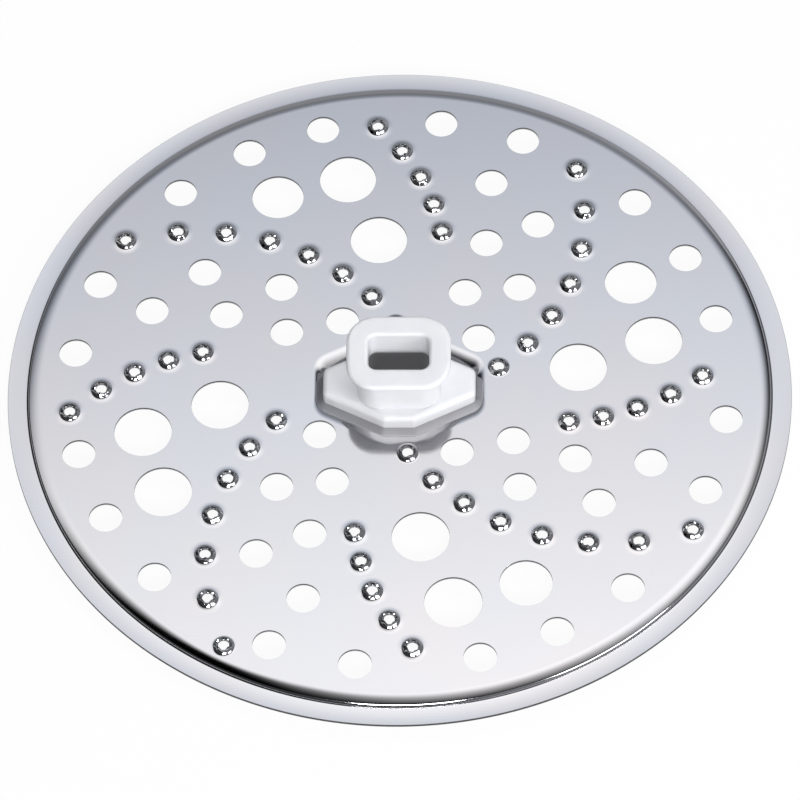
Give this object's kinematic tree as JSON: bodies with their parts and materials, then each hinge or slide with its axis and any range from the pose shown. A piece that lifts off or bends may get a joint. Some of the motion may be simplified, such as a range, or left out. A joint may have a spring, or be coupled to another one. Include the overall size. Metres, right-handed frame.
{
  "type": "food processor disc",
  "caption": "Pressed steel grating disc with round holes and arcs of punched rasps, on a moulded plastic drive hub.",
  "frame": {"origin": "centre of the underside of the hub's foot, on which the disc rests", "axes": "+Z along the drive axis, towards the side with the rasps and the collar; +X along the length of the drive slot"},
  "size_m": [0.142, 0.142, 0.0147],
  "materials": {
    "steel": "polished sheet with a fine satin grain",
    "plastic": "smooth moulded plastic with a soft sheen"
  },
  "bodies": {
    "root": {"grating_disc": "steel", "drive_hub": "plastic"}
  },
  "joints": []
}
